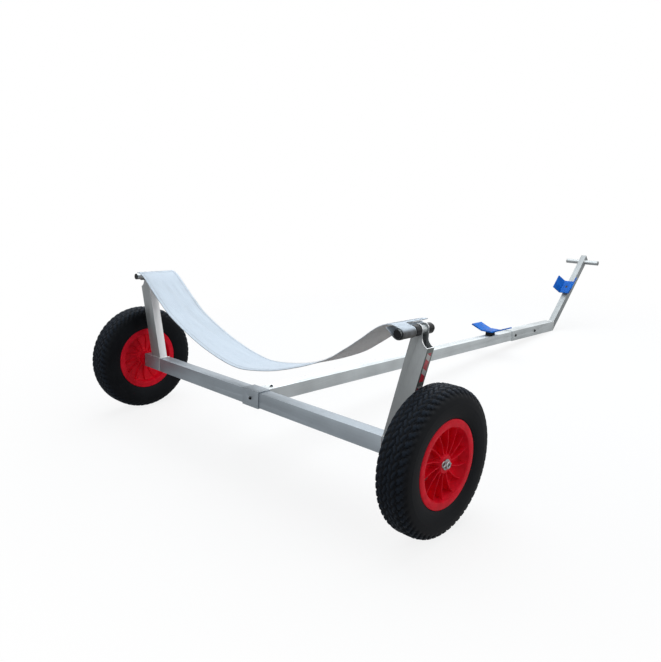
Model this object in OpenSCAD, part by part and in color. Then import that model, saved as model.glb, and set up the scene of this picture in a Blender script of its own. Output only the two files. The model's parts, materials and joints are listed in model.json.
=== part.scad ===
// Launching trolley for a small sailing dinghy: two wheels, a crossbeam,
// leaning uprights that carry a hull sling, and a drawbar with two hull rests.
// All parts are drawn level, with the axle at the origin and the drawbar along +Y,
// then set down with the drawbar's bend on the ground.

/* [Wheels] */
// Outer diameter of the tyre
tyre_d = 400; // [340:5:440]
// Width of the tyre across its sidewalls
tyre_w = 95; // [85:1:110]
// Distance between the two wheel centres
track = 1422; // [1300:1:1600]
// Radius of the rim's outer edge
rim_r = 119; // [112:1:125]
// Radius of the rim's barrel, where the tyre's beads sit
barrel_r = 101; // [96:1:104]
// Distance between the outer faces of the rim's two edges
rim_w = 81; // [70:1:84]
// Number of ribs on the face of the rim
rib_count = 14; // [8:1:20]
// Outer diameter of the hub
hub_d = 46; // [42:1:56]

/* [Axle] */
// Diameter of the stub axle
axle_d = 20; // [16:1:25]
// Wall of the plastic bush between the axle and the hub
bush_wall = 3; // [2:0.5:5]
// Radial running clearance between the axle and its bush
run_gap = 0.05; // [0.02:0.01:0.1]

/* [Crossbeam] */
// Height of the crossbeam tube
beam_h = 50; // [45:1:60]
// Depth of the crossbeam tube, front to back
beam_d = 45; // [40:1:55]
// Wall of the crossbeam tube
beam_wall = 3; // [2:0.5:4]
// Length of the crossbeam between the two axle boxes
beam_len = 1102; // [1000:1:1200]
// Length of each axle box
box_len = 104; // [90:1:110]

/* [Uprights] */
// Width of the upright tube, across its wide face
post_w = 57; // [50:1:60]
// Depth of the upright tube, front to back
post_d = 30; // [28:1:36]
// Wall of the upright tube
post_wall = 2.5; // [2:0.5:3]
// Outward lean of the uprights, in degrees
post_lean = 14.4; // [10:0.1:16]
// Height of the sling pin above the axle
pin_z = 332; // [310:1:350]

/* [Sling] */
// Width of the sling
sling_w = 150; // [120:1:160]
// Thickness of the sling's fabric
sling_t = 3; // [2:0.5:4]
// Height of the sling's lowest point above the axle
sling_low = 113; // [90:1:150]
// Outer diameter of the sling bar
bar_d = 22; // [20:1:24]

/* [Drawbar] */
// Size of the square drawbar tube
draw_s = 46; // [40:1:50]
// Wall of the drawbar and front tubes
draw_wall = 2.5; // [2:0.5:3]
// Where the front tube's sleeve begins, measured from the axle
sleeve_y = 1664; // [1500:1:1750]
// Where the drawbar bends up, measured from the axle
bend_y = 2126; // [1980:1:2300]
// Angle of the riser, in degrees
rise_angle = 45.8; // [35:0.1:55]
// Length of the riser along its upper face
rise_len = 530; // [400:1:600]
// Width of the riser tube
riser_w = 30; // [26:1:40]
// Length of the handle bar
handle_len = 180; // [150:1:240]
// Diameter of the handle bar
handle_d = 24; // [20:1:26]

/* [Hull rests] */
// Length of a hull rest along the drawbar
rest_w = 85; // [60:1:100]
// Thickness of a hull rest
rest_t = 6; // [3:0.5:8]
// Width of the keel rest's flat middle
keel_flat = 60; // [45:1:80]
// Length of each of the keel rest's wings
keel_wing = 61; // [50:1:90]
// Rise of the keel rest's wings, in degrees
keel_angle = 22; // [10:1:30]
// Width of the bow rest's flat middle
bow_flat = 56; // [40:1:70]
// Length of each of the bow rest's wings
bow_wing = 52; // [40:1:80]
// Rise of the bow rest's wings, in degrees
bow_angle = 60; // [40:1:65]
// Where the keel rest stands, measured from the axle
keel_y = 1485; // [1200:1:1550]
// Where the bow rest stands, measured up the riser
bow_s = 274; // [220:1:330]

/* [Hidden] */
$fn = 64;
eps = 0.01;
fit = 0.2;        // clearance between telescoping tubes
soft = 0.3;       // clearance round fabric and wheels' parts
bolt_d = 8;
cap_d = 17;       // black caps over the bolt heads
cap_h = 5;
cap_t = 2.5;      // end caps of the riser and the handle

tyre_r = tyre_d / 2;
wheel_x = track / 2;
hub_out = 34;     // hub's outer end, from the wheel's centre plane
hub_in = 44;      // hub's inner end
hub_bore = axle_d / 2 + run_gap + bush_wall;
rim_face = rim_w / 2;
flange_t = 4;
barrel_wall = 4;
web_x = 8;        // dished web of the rim
web_t = 4;
valve_x = 20;
valve_angle = 7.5 * 360 / rib_count;

beam_end = beam_len / 2;
box_end = beam_end + box_len;
plate_t = 3;
collar_d = axle_d + 10;
washer_t = 2;
axle_end = wheel_x + hub_out + 9.5;
clip_x = wheel_x + hub_out + 5.5;
clip_d = 3;

lean = tan(post_lean);
post_hw = post_w / cos(post_lean);    // width of the upright along X
wall_hw = post_wall / cos(post_lean);
post_y = -3;                          // middle of the uprights, front to back
post_z = beam_h / 2;
ear_r = bar_d / 2 + 3;
ear_z = pin_z + 3;
bar_x = beam_end + lean * (ear_z - post_z) + ear_r;
cut_r = 28;                           // round cut that frees the ears
cut_z = pin_z - 16;
bar_wall = 2;
bar_len = 138;
bar_shift = [-28, 14];                // how far each bar sits from the uprights' middle, right and left
ring_d = bar_d + 7;
ring_w = 21;

tee_wall = 3;
tee_len = 80;
tee_y = beam_d / 2 + fit + tee_wall;
stub_len = 100;
stub_s = draw_s - 2 * draw_wall - 2 * fit;
front_s = draw_s + 2 * fit + 2 * draw_wall;
draw_end = sleeve_y + 260;
riser_d = front_s * cos(rise_angle);  // depth at which the mitred riser fills the front tube's end
top_bolt_y = 66;
handle_s = rise_len - 34;
side_bolts = [sleeve_y + 34, draw_end - 19];

keel_block_size = [28, 42, 20];       // rubber blocks under the hull rests
bow_block_size = [24, 42, 13];

// The level trolley tips until the bend's lower corner meets the ground.
park_tilt = asin(tyre_r / norm([bend_y, front_s / 2])) - atan(front_s / 2 / bend_y);
nose_y = bend_y + (rise_len + cap_t) * cos(rise_angle);
nose_z = (rise_len + cap_t) * sin(rise_angle) - front_s / 2;
park_y = (tyre_r - nose_y * cos(park_tilt) - nose_z * sin(park_tilt)) / 2;

// Half of the sling's path: [share of bar_x, share of the rise from sling_low to the uprights' tops]
sling_top = ear_z + ear_r + 1;
hang = [
    [-0.155, 0.046], [0, 0], [0.155, 0.046], [0.311, 0.143], [0.466, 0.281], [0.621, 0.455],
    [0.725, 0.630], [0.811, 0.790], [0.862, 0.890], [0.901, 0.955], [0.935, 0.990], [0.963, 1], [0.99, 0.985]
];
// From this share on, the points keep their distance from the bar and from the top, as on a half span and rise of:
near_share = 0.85;
near_span = 644.594;
near_rise = 237;
// The pocket round the bar, as [across, up] from the centre of a bar 22 across; a thicker bar spreads it
pocket_for = 22;
pocket = [
    [-4, 13.8], [6, 11.8], [12.6, 5.5], [14.6, -4], [12, -13], [4, -19.5], [-8, -20.5],
    [-20, -13], [-32, 1], [-44, 12], [-56, 22]
];
sling_y = post_y - 3;
sling_skew = 15;      // how far each end of the sling sits from its middle
slot_y = post_d / 2 + 24.5;

// Sets the level trolley down on its wheels and the drawbar's bend.
module parked() {
    translate([0, park_y, tyre_r]) rotate([-park_tilt, 0, 0]) children();
}

// side is 1 for the right half and -1 for the left half
module on_side(side) {
    if (side > 0) children();
    else mirror([1, 0, 0]) children();
}

module along_x(x0, x1, d, fn = 64) {
    translate([x0, 0, 0]) rotate([0, 90, 0]) cylinder(h = x1 - x0, d = d, $fn = fn);
}

module along_y(y0, y1, d, fn = 64) {
    translate([0, y0, 0]) rotate([-90, 0, 0]) cylinder(h = y1 - y0, d = d, $fn = fn);
}

module box_between(low, high) {
    translate(low) cube(high - low);
}

module box_tube_x(x0, x1, d, h, wall) {
    difference() {
        box_between([x0, -d / 2, -h / 2], [x1, d / 2, h / 2]);
        box_between([x0 - 1, -d / 2 + wall, -h / 2 + wall], [x1 + 1, d / 2 - wall, h / 2 - wall]);
    }
}

module box_tube_y(y0, y1, s, wall) {
    difference() {
        box_between([-s / 2, y0, -s / 2], [s / 2, y1, s / 2]);
        box_between([-s / 2 + wall, y0 - 1, -s / 2 + wall], [s / 2 - wall, y1 + 1, s / 2 - wall]);
    }
}

// Crossbeam and axle

module crossbeam() {
    color("silver") parked() difference() {
        box_tube_x(-beam_end, beam_end, beam_d, beam_h, beam_wall);
        along_y(-beam_d, beam_d, bolt_d + 0.4);
    }
}

module axle_box(side) {
    inner_y = beam_d / 2 - beam_wall;
    inner_z = beam_h / 2 - beam_wall;
    color("silver") parked() on_side(side) difference() {
        box_between([beam_end, -beam_d / 2, -beam_h / 2], [box_end, beam_d / 2, beam_h / 2]);
        box_between([beam_end - 1, -inner_y, -inner_z], [beam_end + 11, inner_y, inner_z]);
        box_between([beam_end + 11 + plate_t, -inner_y, -inner_z], [box_end - plate_t, inner_y, inner_z]);
        along_x(beam_end, box_end + 1, axle_d);
    }
}

module axle(side) {
    color("gainsboro") parked() on_side(side) difference() {
        union() {
            along_x(beam_end + 11, axle_end, axle_d);
            along_x(box_end, wheel_x - hub_in - washer_t - 2 * soft, collar_d);
        }
        translate([clip_x, 0, 0]) along_y(-axle_d, axle_d, clip_d + 0.4);
    }
}

// Uprights

module post_outline() {
    difference() {
        union() {
            polygon([
                [beam_end, post_z],
                [beam_end + post_hw, post_z],
                [beam_end + post_hw + lean * (ear_z - post_z), ear_z],
                [beam_end + lean * (ear_z - post_z), ear_z]
            ]);
            translate([bar_x, ear_z]) circle(ear_r);
        }
        translate([bar_x + ear_r + cut_r, cut_z]) circle(cut_r);
        translate([bar_x + ear_r, cut_z]) square([2 * cut_r, 60]);
        translate([bar_x, pin_z]) circle(d = bar_d + 2 * run_gap);
    }
}

module post_hollow() {
    top = pin_z + 40;
    polygon([
        [beam_end + wall_hw - lean, post_z - 1],
        [beam_end + post_hw - wall_hw - lean, post_z - 1],
        [beam_end + post_hw - wall_hw + lean * (top - post_z), top],
        [beam_end + wall_hw + lean * (top - post_z), top]
    ]);
}

module slab_y(y0, y1) {
    translate([0, y1, 0]) rotate([90, 0, 0]) linear_extrude(y1 - y0) children();
}

module upright(side) {
    inner = post_d / 2 - post_wall;
    color("silver") parked() on_side(side) difference() {
        slab_y(post_y - post_d / 2, post_y + post_d / 2) post_outline();
        slab_y(post_y - inner, post_y + inner) post_hollow();
        box_between([bar_x - ear_r, post_y - inner, pin_z - ear_r], [bar_x + ear_r, post_y + inner, pin_z + 40]);
    }
}

// Drawbar

module tee_piece() {
    top = beam_h / 2 + fit + tee_wall;
    color("silver") parked() difference() {
        union() {
            box_between([-tee_len / 2, -tee_y, -top], [tee_len / 2, tee_y, top]);
            box_between([-stub_s / 2, 0, -stub_s / 2], [stub_s / 2, tee_y + stub_len, stub_s / 2]);
        }
        box_between([-tee_len, -tee_y + tee_wall, -top + tee_wall], [tee_len, tee_y - tee_wall, top - tee_wall]);
        box_between([-stub_s / 2 + tee_wall, tee_y, -stub_s / 2 + tee_wall],
                    [stub_s / 2 - tee_wall, tee_y + stub_len + 1, stub_s / 2 - tee_wall]);
        along_y(-tee_y - 1, tee_y + 1, bolt_d + 0.4);
        translate([0, top_bolt_y, -draw_s]) cylinder(h = 2 * draw_s, d = bolt_d + 0.4);
    }
}

module drawbar() {
    color("silver") parked() difference() {
        box_tube_y(tee_y, draw_end, draw_s, draw_wall);
        translate([0, top_bolt_y, -draw_s]) cylinder(h = 2 * draw_s, d = bolt_d + 0.4);
        for (y = side_bolts) translate([0, y, 0]) along_x(-draw_s, draw_s, bolt_d + 0.4);
        translate([0, keel_y, 0]) cylinder(h = draw_s, d = bolt_d + 0.4);
    }
}

module front_tube() {
    inner = front_s / 2 - draw_wall;
    color("silver") parked() difference() {
        box_between([-front_s / 2, sleeve_y, -front_s / 2], [front_s / 2, bend_y, front_s / 2]);
        box_between([-inner, sleeve_y - 1, -inner], [inner, bend_y - plate_t, inner]);
        for (y = side_bolts) translate([0, y, 0]) along_x(-front_s, front_s, bolt_d + 0.4);
    }
}

// Puts its children in the riser's own frame: +Y up the riser, +Z out of its upper face,
// with the origin on the lower corner of the bend. Its right face runs on from the front tube's.
module on_riser() {
    translate([(front_s - riser_w) / 2, bend_y, -front_s / 2]) rotate([rise_angle, 0, 0]) children();
}

module riser() {
    color("silver") parked() difference() {
        on_riser() difference() {
            box_between([-riser_w / 2, -riser_d, 0], [riser_w / 2, rise_len, riser_d]);
            box_between([-riser_w / 2 + draw_wall, -riser_d - 1, draw_wall],
                        [riser_w / 2 - draw_wall, rise_len + 1, riser_d - draw_wall]);
            translate([0, handle_s, riser_d / 2]) along_x(-riser_w, riser_w, handle_d);
            translate([0, bow_s, riser_d / 2]) cylinder(h = riser_d, d = bolt_d + 0.4);
        }
        box_between([-front_s, bend_y - 2 * riser_d, -2 * riser_d], [front_s, bend_y, 2 * front_s]);
    }
}

module riser_cap() {
    color("dimgray") parked() on_riser() {
        box_between([-riser_w / 2, rise_len, 0], [riser_w / 2, rise_len + cap_t, riser_d]);
        box_between([-riser_w / 2 + draw_wall + fit, rise_len - 12, draw_wall + fit],
                    [riser_w / 2 - draw_wall - fit, rise_len + 1, riser_d - draw_wall - fit]);
    }
}

module handle_bar() {
    color("silver") parked() on_riser() translate([0, handle_s, riser_d / 2]) difference() {
        along_x(-handle_len / 2, handle_len / 2, handle_d);
        along_x(-handle_len / 2 - 1, handle_len / 2 + 1, handle_d - 4);
    }
}

module handle_plugs() {
    color("dimgray") parked() on_riser() translate([0, handle_s, riser_d / 2])
        for (side = [1, -1]) on_side(side) {
            along_x(handle_len / 2 - 14, handle_len / 2 + 1, handle_d - 4);
            along_x(handle_len / 2, handle_len / 2 + cap_t, handle_d);
        }
}

// A bolt along +Z from z0 to z1, with a black cap at the top and a nut below
module capped_bolt(z0, z1) {
    translate([0, 0, z0 - 6]) cylinder(h = z1 - z0 + 7, d = bolt_d);
    translate([0, 0, z1]) cylinder(h = cap_h, d = cap_d);
    translate([0, 0, z0 - 7]) cylinder(h = 7, d = 15, $fn = 6);
}

module tee_bolt() {
    color("black") parked() rotate([90, 0, 0]) capped_bolt(-tee_y, tee_y);
}

module drawbar_bolt() {
    color("black") parked() translate([0, top_bolt_y, 0]) capped_bolt(-draw_s / 2, draw_s / 2);
}

module front_bolts() {
    color("black") parked() for (y = side_bolts)
        translate([0, y, 0]) rotate([0, 90, 0]) capped_bolt(-front_s / 2, front_s / 2);
}

// Hull rests: a plate with a flat middle and two raised wings, on a rubber block

module rest_plate(flat, wing, angle) {
    half = flat / 2;
    rise = wing * sin(angle);
    span = wing * cos(angle);
    up = rest_t * cos(angle);
    back = rest_t * sin(angle);
    knee = half - rest_t * tan(angle / 2);
    slab_y(-rest_w / 2, rest_w / 2) polygon([
        [-half, 0],
        [half, 0],
        [half + span, rise],
        [half + span - back, rise + up],
        [knee, rest_t],
        [-knee, rest_t],
        [-half - span + back, rise + up],
        [-half - span, rise]
    ]);
}

// A countersunk bolt, so that nothing stands out of the rest's face
module rest_screw(height, tube_wall) {
    top = height + rest_t - 0.2;
    translate([0, 0, -tube_wall - 9]) cylinder(h = top + tube_wall + 8, d = bolt_d);
    translate([0, 0, top - 3]) cylinder(h = 3, d1 = bolt_d, d2 = bolt_d + 6);
    translate([0, 0, -tube_wall - 6]) cylinder(h = 6, d = 14, $fn = 6);
}

module rest_hole() {
    translate([0, 0, -50]) cylinder(h = 200, d = bolt_d + 0.2);
}

module sunk_hole(height) {
    rest_hole();
    translate([0, 0, height + rest_t - 3.2]) cylinder(h = 3.2 + eps, d1 = bolt_d + 0.4, d2 = bolt_d + 6.6);
}

module rest_block(size) {
    difference() {
        translate([-size[0] / 2, -size[1] / 2, 0]) cube(size);
        rest_hole();
    }
}

module on_keel() {
    translate([0, keel_y, draw_s / 2]) children();
}

module on_bow() {
    on_riser() translate([0, bow_s, riser_d]) children();
}

module keel_block() {
    color("black") parked() on_keel() rest_block(keel_block_size);
}

module keel_rest() {
    color("royalblue") parked() on_keel() difference() {
        translate([0, 8, keel_block_size[2]]) rest_plate(keel_flat, keel_wing, keel_angle);
        sunk_hole(keel_block_size[2]);
    }
}

module keel_screw() {
    color("silver") parked() on_keel() rest_screw(keel_block_size[2], draw_wall);
}

module bow_block() {
    color("black") parked() on_bow() rest_block(bow_block_size);
}

module bow_rest() {
    color("royalblue") parked() on_bow() difference() {
        translate([0, 0, bow_block_size[2]]) rest_plate(bow_flat, bow_wing, bow_angle);
        sunk_hole(bow_block_size[2]);
    }
}

module bow_screw() {
    color("silver") parked() on_bow() rest_screw(bow_block_size[2], draw_wall);
}

// Sling and its bars

// A smooth curve through points, with n steps between neighbours; its two end points only steer it.
function blend4(a, b, c, d, t) =
    0.5 * (2 * b + (c - a) * t + (2 * a - 5 * b + 4 * c - d) * t * t + (3 * b - a - 3 * c + d) * t * t * t);
function smooth(p, n) = concat(
    [for (i = [1:len(p) - 3]) for (k = [0:n - 1]) blend4(p[i - 1], p[i], p[i + 1], p[i + 2], k / n)],
    [p[len(p) - 2]]
);
function square_to(v) = [-v[1], v[0]] / norm(v);
function shifted(p, d) = [for (i = [0:len(p) - 1])
    p[i] + d * square_to(p[min(i + 1, len(p) - 1)] - p[max(i - 1, 0)])];

module ribbon(p, t) {
    low = shifted(p, -t / 2);
    n = len(p);
    polygon(concat(shifted(p, t / 2), [for (i = [1:n]) low[n - i]]));
}

hang_points = [for (p = hang) p[0] < near_share
    ? [p[0] * bar_x, sling_low + p[1] * (sling_top - sling_low)]
    : [bar_x - (1 - p[0]) * near_span, sling_top - (1 - p[1]) * near_rise]];
pocket_points = [for (p = pocket) [bar_x, pin_z] + p + (bar_d - pocket_for) / 2 * p / norm(p)];
half_path = smooth(concat([for (i = [0:len(hang) - 2]) hang_points[i]], pocket_points), 3);

// One ribbon runs from hem to hem; each hem ends just under the sling, where it is sewn.
module sling_section() {
    n = len(half_path) - 1;
    left = [for (i = [0:n - 1]) [-half_path[n - i][0], half_path[n - i][1]]];
    ribbon(concat(left, half_path), sling_t);
}

// The sling's outline from above: its edges run slightly askew to the crossbeam.
module sling_plan() {
    reach = bar_x + 40;
    skew = sling_skew * reach / bar_x;
    half = sling_w / 2;
    slot_x = bar_x - ear_r - 7;
    difference() {
        polygon([
            [-reach, sling_y - half + skew],
            [reach, sling_y - half - skew],
            [reach, sling_y + half - skew],
            [-reach, sling_y + half + skew]
        ]);
        translate([slot_x, post_y - slot_y]) square([100, 200]);
        translate([-slot_x - 100, post_y + slot_y - 200]) square([100, 200]);
    }
}

module sling() {
    color("aliceblue") parked() intersection() {
        slab_y(-200, 200) sling_section();
        linear_extrude(pin_z + 100) sling_plan();
    }
}

// Runs a bar's children from its shifted middle.
module on_bar(side) {
    shift = side > 0 ? bar_shift[0] : bar_shift[1];
    parked() on_side(side) translate([bar_x, post_y + shift, pin_z]) children();
}

module sling_bar(side) {
    half = bar_len / 2;
    color("silver") on_bar(side) difference() {
        along_y(-half, half, bar_d);
        along_y(-half - 1, half + 1, bar_d - 2 * bar_wall);
    }
}

module ring_y(y0, y1, d, hole) {
    difference() {
        along_y(y0, y1, d);
        along_y(y0 - 1, y1 + 1, hole);
    }
}

// Black rings either side of the upright keep the bar in its place.
module bar_rings(side) {
    near = post_d / 2 + soft;
    color("black") parked() on_side(side) translate([bar_x, post_y, pin_z]) {
        ring_y(near, near + ring_w, ring_d, bar_d);
        ring_y(-near - ring_w, -near, ring_d, bar_d);
    }
}

module bar_plugs(side) {
    half = bar_len / 2;
    hole = bar_d - 2 * bar_wall;
    color("black") on_bar(side) for (end = [1, -1]) scale([1, end, 1]) {
        along_y(half - 12, half + 1, hole);
        along_y(half, half + 2, bar_d);
    }
}

// Wheels, drawn about their own centre with the axis along X

module on_wheel(side) {
    translate([0, park_y, tyre_r]) on_side(side) translate([wheel_x, 0, 0]) children();
}

module spun() {
    rotate([0, 90, 0]) rotate([0, 0, 90]) rotate_extrude($fn = 128) children();
}

// The tyre's section from the middle of its tread to one bead, as [radius, distance from the middle]
seat = rim_face - flange_t - 0.2;
half_w = tyre_w / 2;
high = (tyre_r - rim_r) / 81;   // the points below are drawn for a sidewall 81 high
tyre_outside = [
    [tyre_r, half_w * 0.35], [tyre_r - 2 * high, half_w * 0.6], [tyre_r - 6 * high, half_w * 0.78],
    [tyre_r - 13 * high, half_w * 0.9], [tyre_r - 24 * high, half_w * 0.98], [tyre_r - 38 * high, half_w],
    [tyre_r - 54 * high, half_w * 0.97], [tyre_r - 68 * high, half_w * 0.9],
    [rim_r + 0.6, half_w * 0.83], [rim_r + 0.6, seat], [barrel_r + 0.3, seat]
];
tyre_inside = [
    [tyre_r - 11 * high, half_w * 0.3], [tyre_r - 13 * high, half_w * 0.7], [tyre_r - 22 * high, half_w * 0.9 - 6],
    [tyre_r - 38 * high, half_w - 7], [tyre_r - 54 * high, half_w * 0.97 - 7],
    [rim_r + 6 * high, half_w * 0.83 - 7], [barrel_r + 9, seat - 9], [barrel_r + 0.3, seat - 9]
];
function flipped(p) = [for (i = [1:len(p)]) [p[len(p) - i][0], -p[len(p) - i][1]]];
function backwards(p) = [for (i = [1:len(p)]) p[len(p) - i]];

module tyre(side) {
    color("#202226") on_wheel(side) spun()
        polygon(concat(flipped(tyre_outside), tyre_outside, backwards(tyre_inside), flipped(backwards(tyre_inside))));
}

module valve_place() {
    rotate([valve_angle, 0, 0]) translate([valve_x, 0, 0]) children();
}

module valve(side) {
    color("#202226") on_wheel(side) valve_place() {
        along_y(barrel_r - 34, barrel_r + 2, 9);
        along_y(barrel_r - 13, barrel_r - barrel_wall - 0.6, 13);
        along_y(barrel_r + 0.2, barrel_r + 4, 13);
    }
}

module rim(side) {
    hub_r = hub_d / 2;
    inner_r = barrel_r - barrel_wall;
    color("crimson") on_wheel(side) difference() {
        union() {
            spun() polygon([
                [inner_r, -rim_face], [rim_r, -rim_face], [rim_r, -rim_face + flange_t],
                [barrel_r, -rim_face + flange_t], [barrel_r, rim_face - flange_t],
                [rim_r, rim_face - flange_t], [rim_r, rim_face], [inner_r, rim_face],
                [inner_r, web_x + web_t], [hub_r, web_x + web_t], [hub_r, hub_out],
                [hub_bore, hub_out], [hub_bore, -hub_in], [hub_r, -hub_in],
                [hub_r, web_x], [inner_r, web_x]
            ]);
            for (i = [0:rib_count - 1]) rotate([i * 360 / rib_count, 0, 0]) {
                box_between([web_x + 1, hub_r - 1, -1.5], [hub_out - 8, inner_r + 1, 1.5]);
                box_between([-hub_in + 16, hub_r - 1, -1.5], [web_x + 1, inner_r + 1, 1.5]);
            }
        }
        valve_place() along_y(inner_r - 4, barrel_r + 2, 9.2);
    }
}

module hub_bushes(side) {
    len = 24;
    color("white") on_wheel(side) for (x = [-hub_in, hub_out - len])
        difference() {
            along_x(x, x + len, 2 * hub_bore - 0.1);
            along_x(x - 1, x + len + 1, axle_d + 2 * run_gap);
        }
}

module axle_washers(side) {
    color("gainsboro") on_wheel(side) for (x = [-hub_in - washer_t - soft, hub_out + soft])
        difference() {
            along_x(x, x + washer_t, axle_d + 9);
            along_x(x - 1, x + washer_t + 1, axle_d + 0.3);
        }
}

module axle_clip(side) {
    r = axle_d / 2;
    bow = 7;
    color("silver") parked() on_side(side) translate([clip_x, 0, 0]) {
        along_y(-r - 9, r + 5, clip_d, 24);
        translate([0, -r - 8, bow - 1]) rotate([0, 90, 0]) rotate_extrude($fn = 48)
            translate([bow, 0]) circle(d = clip_d, $fn = 24);
    }
}

crossbeam();
axle_box(1);  // axle_box_right
axle_box(-1);  // axle_box_left
axle(1);  // axle_right
axle(-1);  // axle_left
upright(1);  // upright_right
upright(-1);  // upright_left
tee_piece();
tee_bolt();
drawbar();
drawbar_bolt();
front_tube();
front_bolts();
riser();
riser_cap();
handle_bar();
handle_plugs();
keel_block();
keel_rest();
keel_screw();
bow_block();
bow_rest();
bow_screw();
sling();
sling_bar(1);  // sling_bar_right
sling_bar(-1);  // sling_bar_left
bar_rings(1);  // bar_rings_right
bar_rings(-1);  // bar_rings_left
bar_plugs(1);  // bar_plugs_right
bar_plugs(-1);  // bar_plugs_left
tyre(1);  // tyre_right
tyre(-1);  // tyre_left
valve(1);  // valve_right
valve(-1);  // valve_left
rim(1);  // rim_right
rim(-1);  // rim_left
hub_bushes(1);  // hub_bushes_right
hub_bushes(-1);  // hub_bushes_left
axle_washers(1);  // axle_washers_right
axle_washers(-1);  // axle_washers_left
axle_clip(1);  // axle_clip_right
axle_clip(-1);  // axle_clip_left
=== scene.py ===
import json, math
import bpy, bmesh
from mathutils import Matrix, Vector, noise


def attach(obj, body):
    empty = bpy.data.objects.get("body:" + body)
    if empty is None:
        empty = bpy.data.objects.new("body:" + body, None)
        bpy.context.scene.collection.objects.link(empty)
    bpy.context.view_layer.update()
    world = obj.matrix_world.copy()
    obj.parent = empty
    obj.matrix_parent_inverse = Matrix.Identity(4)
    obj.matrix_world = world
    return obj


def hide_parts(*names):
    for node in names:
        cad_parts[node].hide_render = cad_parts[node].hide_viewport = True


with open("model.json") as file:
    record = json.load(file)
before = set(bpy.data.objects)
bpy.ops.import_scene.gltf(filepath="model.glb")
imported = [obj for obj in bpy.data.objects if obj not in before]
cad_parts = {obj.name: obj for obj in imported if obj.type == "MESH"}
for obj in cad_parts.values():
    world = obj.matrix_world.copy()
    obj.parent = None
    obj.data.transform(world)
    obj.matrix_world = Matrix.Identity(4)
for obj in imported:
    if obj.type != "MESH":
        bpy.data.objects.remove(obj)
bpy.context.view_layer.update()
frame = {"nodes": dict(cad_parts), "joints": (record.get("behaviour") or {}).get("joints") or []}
nodes = frame["nodes"]
joints = {j["name"]: j for j in frame["joints"]}

# The trolley is drawn level with its axle at the origin, then parked: tipped until the drawbar's bend rests on the ground.
axleY = joints["wheel_right_spin"]["pos_m"][1]
axleZ = joints["wheel_right_spin"]["pos_m"][2]
wheelX = joints["wheel_right_spin"]["pos_m"][0]
barAxis = Vector(joints["sling_bar_right_turn"]["axis"])
parkTilt = math.atan2(-barAxis.z, barAxis.y)
parked = Matrix.Translation((0, axleY, axleZ)) @ Matrix.Rotation(-parkTilt, 4, "X")
level = parked.inverted()
mm = 0.001


def place(x, y, z):
    # a point in millimetres on the level trolley, in the parked frame
    return parked @ Vector((x * mm, y * mm, z * mm))


barPlace = level @ Vector(joints["sling_bar_right_turn"]["pos_m"])
barX, barZ = barPlace.x / mm, barPlace.z / mm
postY = -3.0
print("trolley parked at", round(math.degrees(parkTilt), 2), "degrees")


# ---------- camera, light and floor ----------

view = {"place": (1592.2, -1338.5, 644.2), "yaw": 0.7577, "pitch": 0.1979, "roll": 0.0378, "lens": 35.548}


def makeCamera():
    yaw, pitch, roll = view["yaw"], view["pitch"], view["roll"]
    ahead = Vector((-math.sin(yaw) * math.cos(pitch), math.cos(yaw) * math.cos(pitch), -math.sin(pitch)))
    right = ahead.cross(Vector((0, 0, 1))).normalized()
    up = right.cross(ahead)
    right2 = right * math.cos(roll) + up * math.sin(roll)
    up2 = up * math.cos(roll) - right * math.sin(roll)
    turn = Matrix((right2, up2, -ahead)).transposed().to_4x4()
    data = bpy.data.cameras.new("mainCamera")
    data.sensor_fit = "HORIZONTAL"
    data.sensor_width = 36
    data.lens = view["lens"]
    data.clip_start, data.clip_end = 0.05, 100
    camera = bpy.data.objects.new("mainCamera", data)
    bpy.context.scene.collection.objects.link(camera)
    camera.matrix_world = parked @ Matrix.Translation(Vector(view["place"]) * mm) @ turn
    bpy.context.scene.camera = camera


lamps = {
    "overhead": {"at": (-0.6, 0.4, 3.4), "to": (0, -0.2, 0.2), "size": 4.6, "watts": 118, "tint": (0.93, 0.97, 1.0)},
    "side": {"at": (3.2, 0.6, 1.5), "to": (0.2, 0, 0.3), "size": 1.8, "watts": 24, "tint": (1.0, 0.98, 0.95)},
    "camera": {"at": (0.6, -3.6, 1.7), "to": (0, -0.6, 0.2), "size": 2.2, "watts": 7, "tint": (1.0, 0.99, 0.97)},
}


def makeLights():
    for name, lamp in lamps.items():
        data = bpy.data.lights.new(name + "Light", "AREA")
        data.shape = "DISK"
        data.size = lamp["size"]
        data.energy = lamp["watts"]
        data.color = lamp["tint"]
        light = bpy.data.objects.new(name + "Light", data)
        bpy.context.scene.collection.objects.link(light)
        at = Vector(lamp["at"])
        light.location = at
        light.rotation_euler = (Vector(lamp["to"]) - at).to_track_quat("-Z", "Y").to_euler()


class Shader:
    # a short way to build a node tree
    def __init__(self, tree):
        self.tree = tree
        tree.nodes.clear()

    def add(self, kind, links=None, **values):
        node = self.tree.nodes.new(kind)
        for key, value in values.items():
            setattr(node, key, value)
        for key, value in (links or {}).items():
            socket = node.inputs[key]
            if isinstance(value, bpy.types.NodeSocket):
                self.tree.links.new(value, socket)
            else:
                socket.default_value = value
        return node

    def maths(self, operation, a, b=0.0, clamp=False):
        return self.add("ShaderNodeMath", {0: a, 1: b}, operation=operation, use_clamp=clamp).outputs[0]


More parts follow.
